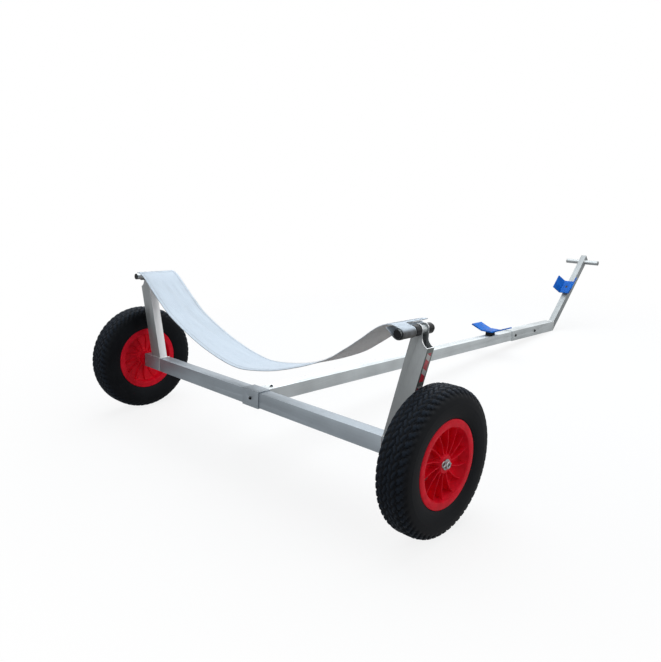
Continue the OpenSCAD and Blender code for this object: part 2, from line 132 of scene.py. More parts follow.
def makeWorld():
    world = bpy.data.worlds.new("studio")
    world.use_nodes = True
    bpy.context.scene.world = world
    s = Shader(world.node_tree)
    path = s.add("ShaderNodeLightPath")
    seen = s.maths("MAXIMUM", path.outputs["Is Camera Ray"], path.outputs["Is Glossy Ray"])
    seen = s.maths("MAXIMUM", seen, path.outputs["Is Transmission Ray"])
    ambient = s.add("ShaderNodeBackground", {"Color": (0.86, 0.93, 1.0, 1), "Strength": 0.30})
    height = s.add("ShaderNodeSeparateXYZ", {0: s.add("ShaderNodeTexCoord").outputs["Generated"]}).outputs["Z"]
    sky = s.add("ShaderNodeMapRange", {"Value": height, "From Min": 0.0, "From Max": 0.6, "To Min": 0.0, "To Max": 0.7}).outputs["Result"]
    strength = s.maths("ADD", 1.0, s.maths("MULTIPLY", sky, path.outputs["Is Glossy Ray"]))
    white = s.add("ShaderNodeBackground", {"Color": (1, 1, 1, 1), "Strength": strength})
    mix = s.add("ShaderNodeMixShader", {0: seen, 1: ambient.outputs[0], 2: white.outputs[0]})
    s.add("ShaderNodeOutputWorld", {"Surface": mix.outputs[0]})


def makeFloor():
    mesh = bpy.data.meshes.new("floor")
    size = 40
    mesh.from_pydata([(-size, -size, 0), (size, -size, 0), (size, size, 0), (-size, size, 0)], [], [(0, 1, 2, 3)])
    floor = bpy.data.objects.new("floor", mesh)
    bpy.context.scene.collection.objects.link(floor)
    material = bpy.data.materials.new("floorPaper")
    material.use_nodes = True
    s = Shader(material.node_tree)
    path = s.add("ShaderNodeLightPath")
    seen = s.maths("MAXIMUM", path.outputs["Is Camera Ray"], path.outputs["Is Glossy Ray"])
    seen = s.maths("MAXIMUM", seen, path.outputs["Is Transmission Ray"])
    place2 = s.add("ShaderNodeTexCoord").outputs["Object"]
    away = s.add("ShaderNodeVectorMath", {0: place2}, operation="LENGTH").outputs["Value"]
    fade = s.add("ShaderNodeMapRange", {"Value": away, "From Min": 1.1, "From Max": 2.3, "To Min": 0.82, "To Max": 1.0},
                 interpolation_type="SMOOTHSTEP").outputs["Result"]
    share = s.maths("MULTIPLY", seen, fade)
    mirrored = s.maths("MULTIPLY", path.outputs["Is Glossy Ray"], 0.45)
    paperColor = s.add("ShaderNodeMixRGB", {"Fac": seen, "Color1": (0.50, 0.46, 0.42, 1), "Color2": (1, 1, 1, 1)}).outputs[0]
    paper = s.add("ShaderNodeBsdfDiffuse", {"Color": paperColor})
    glow = s.add("ShaderNodeEmission", {"Color": (1, 1, 1, 1), "Strength": s.maths("SUBTRACT", 1.0, mirrored)})
    mix = s.add("ShaderNodeMixShader", {0: share, 1: paper.outputs[0], 2: glow.outputs[0]})
    s.add("ShaderNodeOutputMaterial", {"Surface": mix.outputs[0]})
    mesh.materials.append(material)


makeCamera()
makeLights()
makeWorld()
makeFloor()
bpy.context.scene.view_settings.view_transform = "Standard"
print("camera, light and floor done")


# ---------- finishes ----------

def newFinish(name):
    material = bpy.data.materials.new(name)
    material.use_nodes = True
    return material, Shader(material.node_tree)


def finishOutput(s, shader):
    s.add("ShaderNodeOutputMaterial", {"Surface": shader.outputs[0]})


def ramp(s, factor, stops):
    node = s.add("ShaderNodeValToRGB", {"Fac": factor})
    elements = node.color_ramp.elements
    while len(elements) < len(stops):
        elements.new(0.5)
    for element, (at, color) in zip(elements, stops):
        element.position = at
        element.color = (*color, 1)
    return node.outputs["Color"]


def stretched(s, scale, turn=(0, 0, 0)):
    coords = s.add("ShaderNodeTexCoord")
    return s.add("ShaderNodeMapping", {"Vector": coords.outputs["Object"], "Scale": scale, "Rotation": turn}).outputs[0]


def tubeFinish(name, scale, turn=(0, 0, 0), paintedLightLevel=1.0, rough=0.38, metal=0.82, paintedSkyLight=0.0, low=(0.305, 0.326, 0.335), high=(0.375, 0.401, 0.412)):
    # satin anodised extrusion: drawn lines along the tube, cloudy patches, a few scuffs; the colour is scaled as
    # painted light, and can get painted sky light on top faces and painted shade below
    material, s = newFinish(name)
    lines = s.add("ShaderNodeTexNoise", {"Vector": stretched(s, scale, turn), "Scale": 1.0, "Detail": 4.0, "Roughness": 0.6})
    clouds = s.add("ShaderNodeTexNoise", {"Vector": stretched(s, (1, 1, 1)), "Scale": 9.0, "Detail": 3.0})
    scuffs = s.add("ShaderNodeTexNoise", {"Vector": stretched(s, (1, 1, 1), (0.4, 0.7, 0.2)), "Scale": 60.0, "Detail": 8.0, "Distortion": 2.5})
    tone = s.maths("ADD", s.maths("MULTIPLY", lines.outputs["Fac"], 0.35), s.maths("MULTIPLY", clouds.outputs["Fac"], 0.65))
    # painted light: the whole colour is scaled by how brightly this tube is lit
    color = ramp(s, tone, [(0.36, tuple(c * paintedLightLevel for c in low)), (0.64, tuple(c * paintedLightLevel for c in high))])
    if paintedSkyLight:
        # painted light: faces that lean to the sky are painted lighter as if lit by the sky, and those that lean to the
        # ground are painted darker as shade
        lean = s.add("ShaderNodeSeparateXYZ", {0: s.add("ShaderNodeNewGeometry").outputs["True Normal"]}).outputs["Z"]
        paintedSkyLit = s.add("ShaderNodeMapRange", {"Value": lean, "From Min": 0.12, "From Max": 0.24, "To Max": paintedSkyLight}).outputs["Result"]
        paintedGroundShade = s.add("ShaderNodeMapRange", {"Value": lean, "From Min": -0.12, "From Max": -0.24, "To Max": paintedSkyLight}).outputs["Result"]
        color = s.add("ShaderNodeMixRGB", {"Fac": paintedSkyLit, "Color1": color, "Color2": (0.86, 0.87, 0.89, 1)}).outputs[0]
        color = s.add("ShaderNodeMixRGB", {"Fac": paintedGroundShade, "Color1": color, "Color2": (0.15, 0.175, 0.165, 1)}).outputs[0]
    roughness = s.maths("ADD", s.maths("MULTIPLY", scuffs.outputs["Fac"], 0.16), rough)
    bump = s.add("ShaderNodeBump", {"Strength": 0.12, "Distance": 0.0004, "Height": lines.outputs["Fac"]})
    shader = s.add("ShaderNodeBsdfPrincipled", {
        "Base Color": color, "Metallic": metal, "Roughness": roughness, "Normal": bump.outputs[0], "Anisotropic": 0.3})
    finishOutput(s, shader)
    return material


def steelFinish(name, base=(0.40, 0.41, 0.42), rough=0.3):
    # turned and plated steel: fine turning marks, slight tarnish
    material, s = newFinish(name)
    marks = s.add("ShaderNodeTexNoise", {"Vector": stretched(s, (1800, 260, 260)), "Scale": 1.0, "Detail": 2.0})
    tarnish = s.add("ShaderNodeTexNoise", {"Vector": stretched(s, (1, 1, 1)), "Scale": 70.0, "Detail": 5.0})
    color = ramp(s, tarnish.outputs["Fac"], [(0.35, tuple(c * 0.62 for c in base)), (0.6, base)])
    roughness = s.maths("ADD", s.maths("MULTIPLY", tarnish.outputs["Fac"], 0.2), rough)
    bump = s.add("ShaderNodeBump", {"Strength": 0.15, "Distance": 0.0003, "Height": marks.outputs["Fac"]})
    shader = s.add("ShaderNodeBsdfPrincipled", {
        "Base Color": color, "Metallic": 1.0, "Roughness": roughness, "Normal": bump.outputs[0]})
    finishOutput(s, shader)
    return material


def mouldedFinish(name, low, high, rough, grain=900.0, grainDepth=0.25, coat=0.0, gloss=0.25):
    # moulded plastic or rubber: fine grain, faint flow marks, dust in patches
    material, s = newFinish(name)
    grit = s.add("ShaderNodeTexNoise", {"Vector": stretched(s, (1, 1, 1)), "Scale": grain, "Detail": 2.0})
    flow = s.add("ShaderNodeTexNoise", {"Vector": stretched(s, (1, 1, 1)), "Scale": 26.0, "Detail": 5.0, "Distortion": 0.6})
    color = ramp(s, flow.outputs["Fac"], [(0.35, low), (0.66, high)])
    roughness = s.maths("ADD", s.maths("MULTIPLY", flow.outputs["Fac"], 0.18), rough)
    bump = s.add("ShaderNodeBump", {"Strength": grainDepth, "Distance": 0.0003, "Height": grit.outputs["Fac"]})
    shader = s.add("ShaderNodeBsdfPrincipled", {
        "Base Color": color, "Roughness": roughness, "Normal": bump.outputs[0],
        "Coat Weight": coat, "Coat Roughness": 0.2, "Specular IOR Level": gloss})
    finishOutput(s, shader)
    return material


def weldFinish():
    material, s = newFinish("weldMetal")
    ripple = s.add("ShaderNodeTexNoise", {"Vector": stretched(s, (1, 1, 1)), "Scale": 320.0, "Detail": 3.0})
    color = ramp(s, ripple.outputs["Fac"], [(0.3, (0.36, 0.36, 0.35)), (0.7, (0.62, 0.62, 0.61))])
    bump = s.add("ShaderNodeBump", {"Strength": 0.5, "Distance": 0.0006, "Height": ripple.outputs["Fac"]})
    shader = s.add("ShaderNodeBsdfPrincipled", {
        "Base Color": color, "Metallic": 0.9, "Roughness": 0.42, "Normal": bump.outputs[0]})
    finishOutput(s, shader)
    return material


# copies of one anodised finish, each made lighter or darker as painted light for how brightly that tube is lit
alongX = tubeFinish("anodisedAcross", (2.5, 420, 420), paintedLightLevel=1.04, low=(0.295, 0.334, 0.370), high=(0.352, 0.399, 0.442))
alongY = tubeFinish("anodisedDrawbarPaintedLit", (420, 2.5, 420), (-parkTilt, 0, 0), 1.6)
frontLitFinish = tubeFinish("anodisedFrontPaintedLit", (420, 2.5, 420), (-parkTilt, 0, 0), 1.36)
alongZ = tubeFinish("anodisedUpright", (420, 420, 2.5), (0, 0.25, 0), 0.96, 0.4, 0.6, 0.8)
alongRiser = tubeFinish("anodisedRiserPaintedShade", (420, 2.5, 420), (math.radians(-41.1), 0, 0), 0.8, 0.5)
plainTube = tubeFinish("anodisedHandle", (30, 420, 420), paintedLightLevel=1.05)
blackCap = mouldedFinish("blackCap", (0.003, 0.0035, 0.005), (0.009, 0.010, 0.013), 0.26, coat=0.04, gloss=0.16)
greyCap = mouldedFinish("greyCap", (0.30, 0.31, 0.32), (0.40, 0.41, 0.42), 0.4)
blueRest = mouldedFinish("blueRest", (0.006, 0.115, 0.50), (0.009, 0.17, 0.66), 0.36, coat=0.02, gloss=0.10)
blackBlock = mouldedFinish("blackBlock", (0.006, 0.006, 0.007), (0.016, 0.016, 0.018), 0.6, grain=500.0, gloss=0.12)
redRim = mouldedFinish("redRim", (0.72, 0.004, 0.020), (0.90, 0.009, 0.032), 0.36, coat=0.01, gloss=0.12)
whiteBush = mouldedFinish("whiteBush", (0.62, 0.61, 0.57), (0.75, 0.74, 0.70), 0.4)
valveRubber = mouldedFinish("valveRubber", (0.012, 0.012, 0.013), (0.03, 0.03, 0.03), 0.5)
plated = steelFinish("platedSteel")
weldMetal = weldFinish()
print("finishes done")


# ---------- helpers for pieces ----------

def newPiece(name, vertices, faces, material, body, smooth=True, replaced=()):
    mesh = bpy.data.meshes.new(name)
    mesh.from_pydata([tuple(v) for v in vertices], [], faces)
    bm = bmesh.new()
    bm.from_mesh(mesh)
    bmesh.ops.recalc_face_normals(bm, faces=bm.faces)
    bm.to_mesh(mesh)
    bm.free()
    piece = bpy.data.objects.new(name, mesh)
    bpy.context.scene.collection.objects.link(piece)
    mesh.materials.append(material)
    mesh.polygons.foreach_set("use_smooth", [smooth] * len(mesh.polygons))
    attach(piece, body)
    if replaced:
        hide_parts(*replaced)
    return piece


def sharpen(piece, degrees=32):
    # marks hard edges so that smooth shading stops there
    bm = bmesh.new()
    bm.from_mesh(piece.data)
    limit = math.radians(degrees)
    for edge in bm.edges:
        if len(edge.link_faces) == 2 and edge.calc_face_angle(0) > limit:
            edge.smooth = False
    bm.to_mesh(piece.data)
    bm.free()


def applied(piece):
    # bakes a piece's modifiers into its mesh
    bpy.context.view_layer.update()
    graph = bpy.context.evaluated_depsgraph_get()
    mesh = bpy.data.meshes.new_from_object(piece.evaluated_get(graph), depsgraph=graph)
    piece.modifiers.clear()
    piece.data = mesh


def softened(node, name, material, body, width, segments=2):
    # the CAD node again, with its hard edges rounded off
    source = nodes[node]
    mesh = source.data.copy()
    mesh.materials.clear()
    bm = bmesh.new()
    bm.from_mesh(mesh)
    bmesh.ops.remove_doubles(bm, verts=bm.verts, dist=0.00001)
    bmesh.ops.dissolve_limit(bm, angle_limit=math.radians(1.5), verts=bm.verts, edges=bm.edges)
    bm.to_mesh(mesh)
    bm.free()
    piece = bpy.data.objects.new(name, mesh)
    bpy.context.scene.collection.objects.link(piece)
    mesh.materials.append(material)
    bevel = piece.modifiers.new("round", "BEVEL")
    bevel.width = width * mm
    bevel.segments = segments
    bevel.limit_method = "ANGLE"
    bevel.angle_limit = math.radians(40)
    bevel.harden_normals = True
    mesh.polygons.foreach_set("use_smooth", [True] * len(mesh.polygons))
    applied(piece)
    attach(piece, body)
    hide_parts(node)
    return piece


def lathe(profile, turns, closed=True):
    # profile is [(along, radius)]; revolves about X and returns vertices and faces
    vertices, faces = [], []
    n = len(profile)
    for i in range(turns):
        a = 2 * math.pi * i / turns
        for along, radius in profile:
            vertices.append(Vector((along, radius * math.cos(a), radius * math.sin(a))))
    last = n if closed else n - 1
    for i in range(turns):
        j = (i + 1) % turns
        for k in range(last):
            m = (k + 1) % n
            faces.append((i * n + k, i * n + m, j * n + m, j * n + k))
    return vertices, faces


def capped(profile, turns):
    # a lathe profile that starts and ends on the axis
    middle = profile[1:-1]
    vertices, faces = lathe(middle, turns, closed=False)
    n = len(middle)
    first, last = len(vertices), len(vertices) + 1
    vertices += [Vector((profile[0][0], 0, 0)), Vector((profile[-1][0], 0, 0))]
    for i in range(turns):
        j = (i + 1) % turns
        faces.append((first, i * n, j * n))
        faces.append((last, j * n + n - 1, i * n + n - 1))
    return vertices, faces


def joinParts(parts):
    vertices, faces = [], []
    for v, f in parts:
        start = len(vertices)
        vertices += v
        faces += [tuple(start + k for k in face) for face in f]
    return vertices, faces


def moved(part, matrix):
    return [matrix @ (v * mm) for v in part[0]], part[1]


def aim(at, direction):
    # a matrix that sends +X along direction at a place on the level trolley, in millimetres
    turn = Vector(direction).to_track_quat("X", "Z").to_matrix().to_4x4()
    return parked @ Matrix.Translation(Vector(at) * mm) @ turn


# ---------- tubes ----------

tubes = {
    "crossbeam": (alongX, 1.6, "tube_aluminium"), "axle_box_right": (alongX, 1.4, "tube_aluminium"),
    "axle_box_left": (alongX, 1.4, "tube_aluminium"), "upright_right": (alongZ, 1.0, "tube_aluminium"),
    "upright_left": (alongZ, 1.0, "tube_aluminium"), "tee_piece": (alongX, 1.3, "tube_aluminium"),
    "drawbar": (alongY, 1.3, "tube_aluminium"), "front_tube": (frontLitFinish, 1.3, "tube_aluminium"),
    "riser": (alongRiser, 1.2, "tube_aluminium"), "riser_cap": (greyCap, 1.2, "grey_plastic"),
    "keel_rest": (blueRest, 1.6, "rest_plastic"), "bow_rest": (blueRest, 1.6, "rest_plastic"),
    "keel_block": (blackBlock, 1.5, "block_rubber"), "bow_block": (blackBlock, 1.5, "block_rubber"),
    "handle_bar": (plainTube, 0.6, "tube_aluminium"),
}
for node, (material, width, slot) in tubes.items():
    words = node.split("_")
    softened(node, words[0] + "".join(w.title() for w in words[1:]) + "Body", material, "frame", width, 3)
print("tubes done")

for node, material in {"axle_clip_right": plated, "axle_clip_left": plated,
                       "axle_washers_right": plated, "axle_washers_left": plated, "hub_bushes_right": whiteBush,
                       "hub_bushes_left": whiteBush, "valve_right": valveRubber, "valve_left": valveRubber,
                       "sling_bar_right": plainTube, "sling_bar_left": plainTube, "keel_screw": blackCap, "bow_screw": blackCap,
                       "handle_plugs": greyCap, "bar_plugs_right": blackCap, "bar_plugs_left": blackCap,
                       "bar_rings_right": blackCap, "bar_rings_left": blackCap, "tee_bolt": blackCap,
                       "drawbar_bolt": blackCap, "front_bolts": blackCap}.items():
    mesh = nodes[node].data
    if not mesh.materials:
        mesh.materials.append(material)
    for i in range(len(mesh.materials)):
        mesh.materials[i] = material

# ---------- tyres ----------

tyre = {"radius": 200.0, "halfWidth": 47.5, "around": 440, "pitches": 55, "grooveDepth": 3.6, "shoulder": 41.0}
tyreShape = [  # (across, radius) from the middle of the tread down to the bead
    (0, 200), (17, 200), (26, 198.7), (33, 196.0), (39, 190.5), (43, 184), (46, 175), (47.5, 162), (47.2, 150),
    (45.4, 138), (42.8, 128.5), (39.6, 120.6), (37.0, 119.7), (36.3, 118)]


def alongShape(shape, step):
    # evenly spaced points on a smooth curve through the given ones
    points = [Vector((x, z)) for x, z in shape]
    fine = []
    for i in range(len(points) - 1):
        a, b, c, d = points[max(i - 1, 0)], points[i], points[i + 1], points[min(i + 2, len(points) - 1)]
        if i == 0:
            a = Vector((-c.x, c.y))
        for k in range(12):
            t = k / 12
            fine.append(0.5 * (2 * b + (c - a) * t + (2 * a - 5 * b + 4 * c - d) * t * t + (3 * b - a - 3 * c + d) * t ** 3))
    fine.append(points[-1])
    out, gone = [fine[0]], 0.0
    for p, q in zip(fine, fine[1:]):
        gone += (q - p).length
        if gone >= step:
            out.append(q)
            gone = 0.0
    out.append(fine[-1])
    return out


def smoothStep(low, high, value):
    t = min(max((value - low) / (high - low), 0.0), 1.0)
    return t * t * (3 - 2 * t)


def zigzag(phase):
    return 4 * abs(phase - math.floor(phase + 0.5)) - 1


def treadDepth(across, turn, run):
    # how deep a groove is at a place on the tyre; run is the distance from the tread's middle along its section
    side = 1 if across >= 0 else -1
    if run > 60:
        return 0.0
    phase = turn * tyre["pitches"]
    deep = 0.0
    for line, width, wave in ((0.0, 1.5, 2.6), (12.5, 1.6, 3.0), (25.5, 1.7, 3.2)):
        centre = line + wave * zigzag(phase + (0.5 if side < 0 else 0.0))
        gap = abs(run - centre) if line else abs(run * side - wave * zigzag(phase))
        deep = max(deep, 1 - smoothStep(width, width + 1.5, gap))
    slant = phase + 0.035 * run * side + 0.12 * zigzag(run / 9.0)
    cross = abs(slant - math.floor(slant + 0.5)) * 22.8
    wide = 1.5 + 0.05 * run
    start = 3.0
    lateral = (1 - smoothStep(wide, wide + 1.6, cross)) * smoothStep(start, start + 2, run)
    deep = max(deep, lateral)
    return deep * (1 - smoothStep(42, 60, run))


def tyreFinish():
    material, s = newFinish("tyreRubber")
    fine = s.add("ShaderNodeTexNoise", {"Vector": stretched(s, (1, 1, 1)), "Scale": 700.0, "Detail": 3.0})
    dust = s.add("ShaderNodeTexNoise", {"Vector": stretched(s, (1, 1, 1)), "Scale": 18.0, "Detail": 6.0, "Distortion": 0.5})
    color = ramp(s, dust.outputs["Fac"], [(0.36, (0.0035, 0.0038, 0.0048)), (0.7, (0.0075, 0.0083, 0.010))])
    # painted highlight: tread block tops get a lighter bluish colour, so the grooves between them read as painted shade
    treadLightMask = s.add("ShaderNodeAttribute", attribute_name="blockTop").outputs["Fac"]
    color = s.add("ShaderNodeMixRGB", {"Fac": treadLightMask, "Color1": color, "Color2": (0.0115, 0.0165, 0.025, 1)}).outputs[0]
    rough = s.maths("ADD", s.maths("MULTIPLY", dust.outputs["Fac"], 0.2), 0.46)
    bump = s.add("ShaderNodeBump", {"Strength": 0.25, "Distance": 0.0004, "Height": fine.outputs["Fac"]})
    shader = s.add("ShaderNodeBsdfPrincipled", {
        "Base Color": color, "Roughness": rough, "Normal": bump.outputs[0], "Specular IOR Level": 0.09, "Specular Tint": (0.85, 0.93, 1.0, 1)})
    finishOutput(s, shader)
    return material


def makeTyre(side, body, node, material):
    half = alongShape(tyreShape, 2.2)
    runs, total = [0.0], 0.0
    for p, q in zip(half, half[1:]):
        total += (q - p).length
        runs.append(total)
    section = [(-p.x, p.y, r) for p, r in zip(reversed(half[1:]), reversed(runs[1:]))]
    section += [(p.x, p.y, r) for p, r in zip(half, runs)]
    normals = []
    for i in range(len(section)):
        a, b = section[max(i - 1, 0)], section[min(i + 1, len(section) - 1)]
        along = Vector((b[0] - a[0], b[1] - a[1])).normalized()
        normals.append(Vector((-along.y, along.x)))
    around = tyre["around"]
    vertices, faces, treadLightMask = [], [], []
    inner = [(36.2, 108), (36.2, 101.4), (27.4, 101.4), (27.4, 110), (-27.4, 110), (-27.4, 101.4), (-36.2, 101.4), (-36.2, 108)]
    n = len(section) + len(inner)
    for i in range(around):
        turn = i / around
        a = 2 * math.pi * turn
        for (x, r, run), normal in zip(section, normals):
            groove = treadDepth(x, turn, run)
            cut = tyre["grooveDepth"] * groove
            # the painted tread light: full on the block tops of the tread, none in the grooves or on the sidewall
            treadLightMask.append((1 - smoothStep(34, 54, run)) * (1 - min(groove * 1.6, 1)))
            # faint lettering-free ridges ring the sidewall
            ridge = 0.45 * (math.exp(-((run - 74) / 1.2) ** 2) + math.exp(-((run - 104) / 1.2) ** 2))
            px, pr = x - normal.x * (cut - ridge), r - normal.y * (cut - ridge)
            vertices.append(Vector((side * px, pr * math.cos(a), pr * math.sin(a))))
        for x, r in inner:
            vertices.append(Vector((side * x, r * math.cos(a), r * math.sin(a))))
            treadLightMask.append(0.0)
    for i in range(around):
        j = (i + 1) % around
        for k in range(n):
            m = (k + 1) % n
            faces.append((i * n + k, i * n + m, j * n + m, j * n + k))
    centre = Matrix.Translation((side * wheelX, axleY, axleZ))
    vertices = [centre @ (v * mm) for v in vertices]
    piece = newPiece(node.replace("_", "") + "Rubber", vertices, faces, material, body, replaced=(node,))
    sharpen(piece, 50)
    piece.data.attributes.new("blockTop", "FLOAT", "POINT").data.foreach_set("value", treadLightMask)


tyreRubber = tyreFinish()
for side, word in ((1, "right"), (-1, "left")):
    makeTyre(side, word + "_wheel", "tyre_" + word, tyreRubber)
print("tyres done")

# ---------- rims ----------

rim = {"ribs": 14, "ribWidth": 2.2, "swirl": 0.14, "hub": 27.0, "barrel": 96.0}
rimShape = [  # (along the axle, radius); the outer face is positive
    (40.0, 118.2), (40.5, 117), (40.5, 100.5), (39.6, 98.6), (36.0, 97.2), (16.0, 92.0), (13.4, 89.5), (12.4, 86),
    (12.4, 36), (14.5, 31.5), (20.0, 29.0), (32.4, 24.6), (34.0, 23.0), (34.0, 13.05),
    (-44.0, 13.05), (-44.0, 22.4), (-43.4, 23.0), (-22.0, 25.0), (-17.0, 30.0), (-14.0, 38.0), (-14.0, 88.0), (-16.0, 94.5),
    (-20.0, 96.5), (-39.0, 98.0), (-40.5, 100), (-40.5, 117.5), (-39.5, 119.0), (-37.5, 119.0), (-36.5, 118.0), (-36.5, 103.0),
    (-34.5, 101.0), (34.5, 101.0), (36.5, 103.0), (36.5, 118.0), (37.5, 119.0), (39.0, 119.0)]


def ribStrip(start, inner, outer, low, top, swirl, width):
    # a thin curved wall from the hub to the barrel, standing between two heights
    vertices, faces = [], []
    steps = 10
    for i in range(steps + 1):
        t = i / steps
        r = inner + (outer - inner) * t
        a = start + swirl * t * t
        side = Vector((-math.sin(a), math.cos(a)))
        mid = Vector((math.cos(a), math.sin(a))) * r
        half = width * (0.62 - 0.16 * t)
        for x, k in ((low(t), 1.15), (top(t) - 0.7, 1.0), (top(t), 0.6)):
            for sign in (1, -1):
                p = mid + side * (half * k * sign)
                vertices.append(Vector((x, p.x, p.y)))
    for i in range(steps):
        a, b = i * 6, i * 6 + 6
        for lo, hi in ((0, 2), (2, 4)):
            faces.append((a + lo, b + lo, b + hi, a + hi))
            faces.append((a + lo + 1, a + hi + 1, b + hi + 1, b + lo + 1))
        faces.append((a + 4, b + 4, b + 5, a + 5))
    return vertices, faces


def makeRim(side, body, node):
    parts = [lathe(rimShape, 144)]
    for i in range(rim["ribs"]):
        start = 2 * math.pi * i / rim["ribs"]
        parts.append(ribStrip(start, 24.5, 96.4, lambda t: 11.0, lambda t: 31.0 + 1.5 * t, rim["swirl"], rim["ribWidth"]))
        parts.append(ribStrip(start, 25.0, 97.5, lambda t: -13.0, lambda t: -20.0 + 2.0 * t, rim["swirl"], rim["ribWidth"]))
    vertices, faces = joinParts(parts)
    centre = Matrix.Translation((side * wheelX, axleY, axleZ))
    vertices = [centre @ Vector((side * v.x * mm, v.y * mm, v.z * mm)) for v in vertices]
    piece = newPiece(node.replace("_", "") + "Moulding", vertices, faces, redRim, body, replaced=(node,))
    sharpen(piece, 30)


for side, word in ((1, "right"), (-1, "left")):
    makeRim(side, word + "_wheel", "rim_" + word)
print("rims done")

# ---------- sling ----------

sling = {"width": 150.0, "low": 113.0, "top": 350.0, "skew": 15.0, "y": -6.0, "slotY": 39.5, "slotX": 21.0,
         "thickness": 2.2, "across": 64, "ripple": 1.6}
hang = [(-0.155, 0.046), (0, 0), (0.155, 0.046), (0.311, 0.143), (0.466, 0.281), (0.621, 0.455), (0.725, 0.630),
        (0.811, 0.790), (0.862, 0.890), (0.901, 0.955), (0.935, 0.990), (0.963, 1)]
pocket = [(-4, 13.8), (6, 11.8), (12.2, 6), (14.0, -2.5), (11.0, -10), (3, -14.4), (-8, -14.2), (-19, -8), (-31, 2.5),
          (-44, 12), (-56, 22)]


def slingPath(step):
    points = [Vector((u * barX, sling["low"] + v * (sling["top"] - sling["low"]))) for u, v in hang]
    points += [Vector((barX + x, barZ + z)) for x, z in pocket]
    fine = []
    for i in range(1, len(points) - 2):
        a, b, c, d = points[i - 1:i + 3]
        for k in range(16):
            t = k / 16
            fine.append(0.5 * (2 * b + (c - a) * t + (2 * a - 5 * b + 4 * c - d) * t * t + (3 * b - a - 3 * c + d) * t ** 3))
    fine.append(points[-2])
    out, gone, since = [(fine[0], 0.0)], 0.0, 0.0
    for p, q in zip(fine, fine[1:]):
        gone += (q - p).length
        since += (q - p).length
        if since >= step:
            out.append((q, gone))
            since = 0.0
    return out


def slingFinish():
    # coated white webbing: a plain weave, long faint creases, grey handling marks, with painted shade under the pocket
    # and on downward faces
    material, s = newFinish("slingCloth")
    warp = s.add("ShaderNodeTexWave", {"Vector": stretched(s, (1, 1, 1)), "Scale": 330.0, "Distortion": 0.6, "Detail": 1.0},
                 wave_type="BANDS", bands_direction="X")
    weft = s.add("ShaderNodeTexWave", {"Vector": stretched(s, (1, 1, 1)), "Scale": 330.0, "Distortion": 0.6, "Detail": 1.0},
                 wave_type="BANDS", bands_direction="Y")
    weave = s.maths("MULTIPLY", warp.outputs["Fac"], weft.outputs["Fac"])
    marks = s.add("ShaderNodeTexNoise", {"Vector": stretched(s, (1, 5, 1)), "Scale": 5.0, "Detail": 7.0, "Roughness": 0.65})
    clouds = s.add("ShaderNodeTexNoise", {"Vector": stretched(s, (1, 1, 1)), "Scale": 3.2, "Detail": 2.0})
    blendTone = s.maths("ADD", s.maths("MULTIPLY", marks.outputs["Fac"], 0.5), s.maths("MULTIPLY", clouds.outputs["Fac"], 0.5))
    tone = ramp(s, blendTone, [(0.32, (0.62, 0.69, 0.76)), (0.46, (0.70, 0.79, 0.88)), (0.62, (0.73, 0.82, 0.91))])
    threads = ramp(s, weave, [(0.0, (0.90, 0.90, 0.91)), (0.7, (1, 1, 1))])
    color = s.add("ShaderNodeMixRGB", {"Fac": 1.0, "Color1": tone, "Color2": threads}, blend_type="MULTIPLY").outputs[0]
    where = s.add("ShaderNodeSeparateXYZ", {0: s.add("ShaderNodeTexCoord").outputs["Object"]})
    pin = joints["sling_bar_right_turn"]["pos_m"]
    outer = s.add("ShaderNodeMapRange", {"Value": s.maths("ABSOLUTE", where.outputs["X"]), "From Min": abs(pin[0]) - 0.034,
                                         "From Max": abs(pin[0]) - 0.014}, interpolation_type="SMOOTHSTEP").outputs["Result"]
    up = s.maths("ADD", s.maths("MULTIPLY", where.outputs["Z"], math.cos(parkTilt)), s.maths("MULTIPLY", where.outputs["Y"], math.sin(parkTilt)))
    pinUp = pin[2] * math.cos(parkTilt) + pin[1] * math.sin(parkTilt)
    under = s.add("ShaderNodeMapRange", {"Value": up, "From Min": pinUp + 0.0125, "From Max": pinUp + 0.003},
                  interpolation_type="SMOOTHSTEP").outputs["Result"]
    # painted shade: near-black under the sling's pocket, below the pin at both outer ends, mottled by the marks noise
    paintedPocketShade = s.maths("MULTIPLY", s.maths("MULTIPLY", outer, under), s.maths("ADD", s.maths("MULTIPLY", marks.outputs["Fac"], 0.6), 0.62), True)
    # painted shade: faces that turn downward are mixed towards a brown-grey
    facing = s.add("ShaderNodeSeparateXYZ", {0: s.add("ShaderNodeNewGeometry").outputs["Normal"]}).outputs["Z"]
    shaded = s.maths("MULTIPLY", s.maths("LESS_THAN", facing, -0.2), 0.4)
    color = s.add("ShaderNodeMixRGB", {"Fac": shaded, "Color1": color, "Color2": (0.50, 0.45, 0.38, 1)}).outputs[0]
    color = s.add("ShaderNodeMixRGB", {"Fac": paintedPocketShade, "Color1": color, "Color2": (0.030, 0.027, 0.025, 1)}).outputs[0]
    bump = s.add("ShaderNodeBump", {"Strength": 0.35, "Distance": 0.0005, "Height": weave})
    shader = s.add("ShaderNodeBsdfPrincipled", {
        "Base Color": color, "Roughness": 0.62, "Normal": bump.outputs[0], "Sheen Weight": 0.15, "Specular IOR Level": 0.35})
    finishOutput(s, shader)
    return material


def slingRange(side, x):
    # the sling's edges at a place along it, askew overall
    lean = -sling["skew"] * x / barX
    low, high = sling["y"] - sling["width"] / 2 + lean, sling["y"] + sling["width"] / 2 + lean
    return low, high


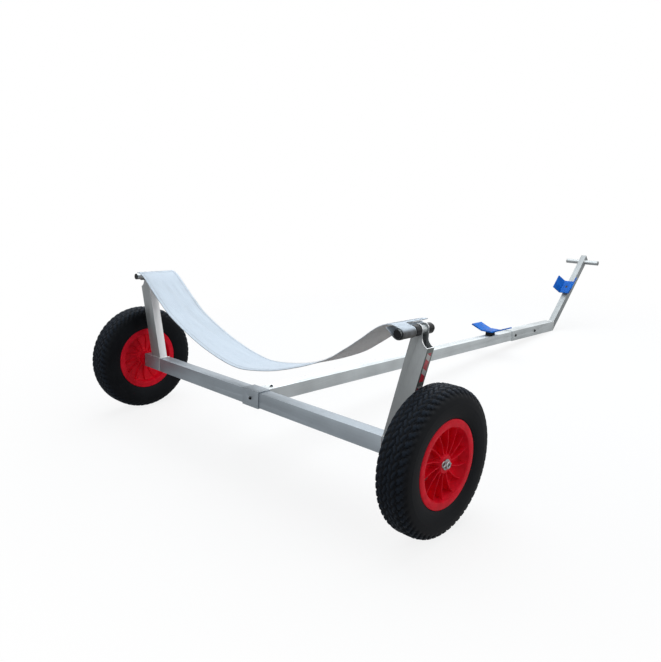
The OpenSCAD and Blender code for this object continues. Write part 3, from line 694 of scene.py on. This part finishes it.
def makeSling():
    path = slingPath(5.0)
    slotX = barX - sling["slotX"]
    across = sling["across"]
    rows = []
    for side in (-1, 1):
        cut = slotX
        part = []
        for index, (p, run) in enumerate(path):
            part.append((side * p.x, p.y, run))
        rows.append(part)
    whole = list(reversed(rows[0][1:])) + rows[1]
    vertices, grid = [], []
    slingCells = []
    for i, (x, z, run) in enumerate(whole):
        before, after = whole[max(i - 1, 0)], whole[min(i + 1, len(whole) - 1)]
        along = Vector((after[0] - before[0], after[1] - before[1])).normalized()
        normal = Vector((-along.y, along.x))
        low, high = slingRange(1 if x > 0 else -1, x)
        inLeg = abs(x) > slotX
        row = []
        for k in range(across + 1):
            t = k / across
            y = low + (high - low) * t
            edge = abs(2 * t - 1)
            calm = 1 - smoothStep(0.80, 1.0, abs(x) / slotX)
            # slack cloth: the edges curl a little and long creases run out from the corners
            curl = -2.2 * edge ** 4 * calm
            crease = sling["ripple"] * calm * (noise.noise(Vector((x * 0.004, y * 0.022, 3.1))) + 0.5 * noise.noise(Vector((x * 0.011, y * 0.05, 8.7))))
            lift = curl + crease
            # the doubled hem at each edge
            lift += 0.55 * smoothStep(0.845, 0.87, edge)
            row.append(len(vertices))
            vertices.append((x + normal.x * lift, y, z + normal.y * lift))
        grid.append((row, inLeg, x))
    faces = []
    for (rowA, legA, xa), (rowB, legB, xb) in zip(grid, grid[1:]):
        for k in range(across):
            a, b, c, d = rowA[k], rowB[k], rowB[k + 1], rowA[k + 1]
            midY = (vertices[a][1] + vertices[d][1] + vertices[b][1] + vertices[c][1]) / 4
            midX = (xa + xb) / 2
            if abs(midX) > slotX:
                if midX > 0 and midY > postY - sling["slotY"]:
                    continue
                if midX < 0 and midY < postY + sling["slotY"]:
                    continue
            faces.append((a, b, c, d))
    used = sorted({v for f in faces for v in f})
    index = {v: i for i, v in enumerate(used)}
    placed = [place(*vertices[v]) for v in used]
    faces = [tuple(index[v] for v in f) for f in faces]
    piece = newPiece("slingCloth", placed, faces, slingFinish(), "frame", replaced=("sling",))
    thick = piece.modifiers.new("thickness", "SOLIDIFY")
    thick.thickness = sling["thickness"] * mm
    thick.offset = 0.0
    applied(piece)
    area = sum(((placed[f[1]] - placed[f[0]]).cross(placed[f[3]] - placed[f[0]])).length for f in faces)
    length = 2 * path[-1][1] * mm
    return piece, area, length


slingPiece, slingArea, slingLength = makeSling()
print("sling", round(slingArea, 4), "m2 of", round(slingLength, 3), "m")


# ---------- stitching on the sling ----------

def makeStitches():
    material, s = newFinish("threadWhite")
    shader = s.add("ShaderNodeBsdfPrincipled", {"Base Color": (0.42, 0.46, 0.50, 1), "Roughness": 0.7})
    finishOutput(s, shader)
    path = slingPath(2.0)
    slotX = barX - sling["slotX"]
    parts = []
    flat = [(p, run) for p, run in path if p.x < slotX - 2 and run < 780]

    def heightAt(x):
        best = min(flat, key=lambda item: abs(item[0].x - abs(x)))
        return best[0].y

    def stitch(x, y, dx, dy):
        z = heightAt(x)
        slope = (heightAt(x + 3) - heightAt(x - 3)) / 6 if abs(x) > 4 else 0
        centre = Vector((x, y, z + sling["thickness"] / 2 + 0.75))
        half = 0.42
        along = Vector((dx, dy, slope * dx))
        across = Vector((-dy, dx, 0)).normalized() * half
        up = Vector((0, 0, 0.5))
        corners = [centre - along / 2 - across, centre - along / 2 + across, centre + along / 2 + across, centre + along / 2 - across]
        vertices = [Vector(c) for c in corners] + [c * 1.0 + up for c in corners]
        faces = [(4, 5, 6, 7), (0, 1, 5, 4), (1, 2, 6, 5), (2, 3, 7, 6), (3, 0, 4, 7)]
        parts.append(([place(*v) for v in vertices], faces))

    # one row inside each edge, and two rows across where each hem is sewn
    for k in range(-150, 151):
        x = k * 4.0
        low, high = slingRange(1, x)
        for y in (low + 10.5, high - 10.5):
            stitch(x, y, 2.6, 0)
    for x in (-(barX - 34), -(barX - 46), barX - 46, barX - 34):
        low, high = slingRange(1, x)
        count = int((high - low - 8) / 4)
        for k in range(count):
            stitch(x, low + 6 + k * 4.0, 0, 2.6)
    vertices, faces = joinParts(parts)
    return newPiece("slingStitching", vertices, faces, material, "frame", smooth=False)


stitching = makeStitches()
print("stitching done")

# ---------- bolt caps ----------

caps = {"radius": 7.5, "height": 5.0}


def domedCap(radius, height):
    return capped([(0, 0), (0, radius), (height * 0.45, radius), (height * 0.78, radius * 0.9), (height * 0.95, radius * 0.66),
                   (height, radius * 0.3), (height, 0)], 40)


def boltSet(name, node, heads, nuts):
    parts = []
    for at, direction, radius in heads:
        parts.append(moved(domedCap(radius, caps["height"]), aim(at, direction)))
        washer = capped([(0, 0), (0, radius + 1.0), (0.9, radius + 1.0), (1.1, radius + 0.8), (1.1, 0)], 40)
        parts.append(moved(washer, aim(at, direction)))
    for at, direction, radius in nuts:
        parts.append(moved(capped([(0, 0), (0, 7.6), (5.4, 7.6), (6.2, 6.6), (6.2, 0)], 6), aim(at, direction)))
        parts.append(moved(capped([(0, 0), (0, 3.8), (6.6, 3.8), (7.0, 3.2), (7.0, 0)], 24), aim(at, direction)))
    vertices, faces = joinParts(parts)
    piece = newPiece(name, vertices, faces, blackCap, "frame", replaced=(node,))
    sharpen(piece, 35)


# stub axles: a collar against the hub and a centre drilled in the end
hubEnd = wheelX / mm + 43.5
axleShape = [(562, 0), (562, 10), (655, 10), (655, 15), (664.4, 15), (664.4, 10), (hubEnd - 1, 10), (hubEnd, 9.2), (hubEnd, 5.0),
             (hubEnd - 0.6, 4.3), (hubEnd - 7, 4.0), (hubEnd - 7, 0)]
for side, word in ((1, "right"), (-1, "left")):
    vertices, faces = capped(axleShape, 64)
    axle = newPiece("axle" + word.title() + "Turned", [place(side * v.x, v.y, v.z) for v in vertices], faces, plated, "frame",
                    replaced=("axle_" + word,))
    sharpen(axle, 35)
print("axles done")

teeFace, barHalf, frontHalf = 25.7, 23.0, 25.7
boltSet("teeBoltCap", "tee_bolt", [((0, -teeFace, 0), (0, -1, 0), 4.4)], [((0, teeFace, 0), (0, 1, 0), 7.0)])
boltSet("drawbarBoltCap", "drawbar_bolt", [((0, 66, barHalf), (0, 0, 1), 4.8)], [((0, 66, -barHalf), (0, 0, -1), 7.0)])
boltSet("frontBoltCaps", "front_bolts", [((frontHalf, y, 0), (1, 0, 0), 6.0) for y in (1698, 1905)],
        [((-frontHalf, y, 0), (-1, 0, 0), 7.0) for y in (1698, 1905)])
print("bolts done")


# ---------- welds ----------

def bead(points, radius, closed=True, step=2.0):
    # a rippled weld bead along a path on the level trolley, in millimetres
    path = [Vector(p) for p in points]
    if closed:
        path.append(path[0])
    fine = []
    for p, q in zip(path, path[1:]):
        n = max(int((q - p).length / step), 1)
        for k in range(n):
            fine.append(p.lerp(q, k / n))
    if not closed:
        fine.append(path[-1])
    ring = 8
    vertices, faces = [], []
    count = len(fine)
    for i, p in enumerate(fine):
        before = fine[i - 1] if i or closed else p
        after = fine[(i + 1) % count] if i + 1 < count or closed else p
        along = (after - before).normalized()
        side = along.cross(Vector((0.31, 0.52, 0.79))).normalized()
        other = along.cross(side)
        grow = radius * (1 + 0.16 * math.sin(i * 1.9) + 0.14 * noise.noise(p * 0.21))
        for k in range(ring):
            a = 2 * math.pi * k / ring
            vertices.append(place(*(p + side * (grow * math.cos(a)) + other * (grow * math.sin(a)))))
    last = count if closed else count - 1
    for i in range(last):
        j = (i + 1) % count
        for k in range(ring):
            m = (k + 1) % ring
            faces.append((i * ring + k, i * ring + m, j * ring + m, j * ring + k))
    return vertices, faces


def rectangle(x0, x1, y0, y1, z, axis="z"):
    if axis == "z":
        return [(x0, y0, z), (x1, y0, z), (x1, y1, z), (x0, y1, z)]
    return [(z, x0, y0), (z, x1, y0), (z, x1, y1), (z, x0, y1)]


def circleX(x, radius, y=0.0, z=0.0, n=28):
    return [(x, y + radius * math.cos(2 * math.pi * k / n), z + radius * math.sin(2 * math.pi * k / n)) for k in range(n)]


riserPlace = Matrix.Translation((10.7, 2126, -25.7)) @ Matrix.Rotation(math.radians(45.8), 4, "X")
parts = []
for side in (1, -1):
    parts.append(bead(rectangle(side * 551.6, side * 609.4, -17.6, 11.6, 25.4), 2.0))
    parts.append(bead(rectangle(-22.6, 22.6, -25.1, 25.1, side * 551, "x"), 0.9))
    parts.append(bead(circleX(side * 655.4, 15.2), 2.0))
    parts.append(bead([riserPlace @ Vector(p) for p in circleX(side * 15.2, 12.2, 496, 17.9)], 1.4))
parts.append(bead([(-4.3, 2126.4, -20), (-4.3, 2126.4, 25.2), (25.4, 2126.4, 25.2), (25.4, 2126.4, -20)], 1.6, closed=False))
vertices, faces = joinParts(parts)
newPiece("weldBeads", vertices, faces, weldMetal, "frame")
print("welds done")

# ---------- red marker strips on the uprights ----------

strips = {"from": 0.08, "to": 0.88, "thick": 0.25, "half": 9.0}


def stripFinish():
    material, s = newFinish("markerFilm")
    wear = s.add("ShaderNodeTexNoise", {"Vector": stretched(s, (1, 1, 1)), "Scale": 90.0, "Detail": 6.0})
    color = ramp(s, wear.outputs["Fac"], [(0.36, (0.40, 0.010, 0.026)), (0.62, (0.62, 0.016, 0.040))])
    bands = s.add("ShaderNodeTexWave", {"Vector": stretched(s, (1, 1, 1), (0.6, 0, 0)), "Scale": 9.0, "Distortion": 0.0},
                  wave_type="BANDS", bands_direction="Z")
    pale = s.maths("GREATER_THAN", bands.outputs["Fac"], 0.72)
    color = s.add("ShaderNodeMixRGB", {"Fac": pale, "Color1": color, "Color2": (0.55, 0.53, 0.54, 1)}).outputs[0]
    shader = s.add("ShaderNodeBsdfPrincipled", {"Base Color": color, "Roughness": 0.3, "Coat Weight": 0.3, "Coat Roughness": 0.15})
    finishOutput(s, shader)
    return material


def makeStrips():
    lean = math.tan(math.radians(14.4))
    parts = []
    for side in (1, -1):
        for lowZ, highZ in ((196, 276), (92, 184)):
            vertices = []
            for out in (0.02, strips["thick"]):
                for z in (lowZ, highZ):
                    x = 551 + 57 / math.cos(math.radians(14.4)) + lean * (z - 25) + out
                    for y in (postY - strips["half"], postY + strips["half"]):
                        vertices.append(place(side * x, y, z))
            faces = [(0, 1, 3, 2), (4, 5, 7, 6), (0, 1, 5, 4), (2, 3, 7, 6), (0, 2, 6, 4), (1, 3, 7, 5)]
            parts.append((vertices, faces))
    vertices, faces = joinParts(parts)
    newPiece("markerStrips", vertices, faces, stripFinish(), "frame", smooth=False)


makeStrips()
print("strips done")
